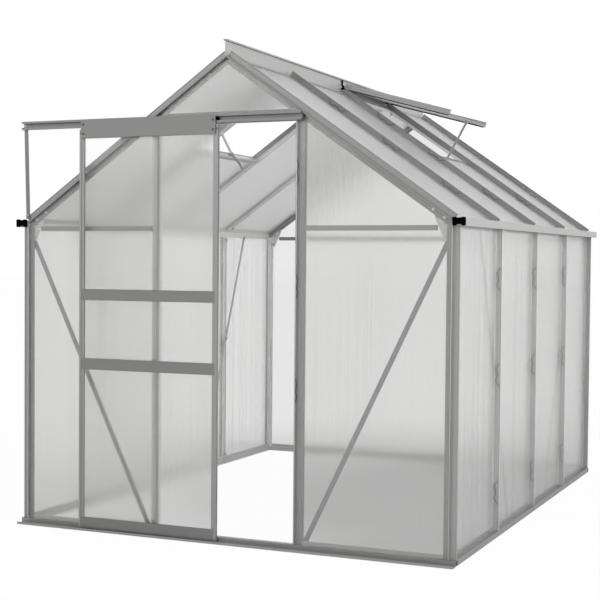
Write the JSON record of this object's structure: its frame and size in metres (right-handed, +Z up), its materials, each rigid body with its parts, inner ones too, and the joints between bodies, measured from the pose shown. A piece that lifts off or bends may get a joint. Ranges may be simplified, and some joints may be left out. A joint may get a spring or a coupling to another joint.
{
  "type": "walk-in greenhouse",
  "caption": "Walk-in greenhouse of aluminium glazing bars and translucent twin-wall sheet, with a sliding door in the gable and hinged roof vents propped open.",
  "frame": {"origin": "middle of the whole footprint, door guide and ridge ends included, at ground level", "axes": "+X to the right along the door gable seen from outside, +Y from the door gable to the rear gable, +Z up"},
  "size_m": [1.948, 2.54, 1.9826],
  "materials": {
    "aluminium": "satin mill finish",
    "door_aluminium": "satin mill finish",
    "zinc_steel": "zinc plated strip",
    "twin_wall_sheet": "translucent twin-wall polycarbonate with upright flutes",
    "black_plastic": "moulded"
  },
  "bodies": {
    "frame": {"front_sill": "aluminium", "rear_sill": "aluminium", "left_sill": "aluminium", "right_sill": "aluminium", "front_left_post": "aluminium", "front_right_post": "aluminium", "rear_left_post": "aluminium", "rear_right_post": "aluminium", "left_wall_bars": "aluminium", "right_wall_bars": "aluminium", "left_gutter": "aluminium", "right_gutter": "aluminium", "ridge_beam": "aluminium", "front_rafters": "aluminium", "rear_rafters": "aluminium", "left_roof_bars": "aluminium", "right_roof_bars": "aluminium", "left_door_post": "aluminium", "right_door_post": "aluminium", "door_header": "aluminium", "rear_studs": "aluminium", "front_eave_strips": "aluminium", "rear_eave_strips": "aluminium", "left_vent_frame": "aluminium", "right_vent_frame": "aluminium", "vent_sills": "aluminium", "door_track": "door_aluminium", "front_braces": "zinc_steel", "side_braces": "zinc_steel", "corner_gussets": "zinc_steel", "track_strut": "zinc_steel", "vent_stays": "zinc_steel", "left_wall_panes": "twin_wall_sheet", "right_wall_panes": "twin_wall_sheet", "left_roof_panes": "twin_wall_sheet", "right_roof_panes": "twin_wall_sheet", "front_panes": "twin_wall_sheet", "rear_panes": "twin_wall_sheet", "left_vent_pane": "twin_wall_sheet", "right_vent_pane": "twin_wall_sheet", "gutter_end_caps": "black_plastic"},
    "door": {"door_stiles": "door_aluminium", "door_rails": "door_aluminium", "door_panes": "twin_wall_sheet", "door_rollers": "black_plastic"}
  },
  "joints": [
    {"name": "door_slide", "type": "slide", "parent": "frame", "child": "door", "axis": [1, 0, 0], "range_m": [-0.255, 0.339]}
  ]
}
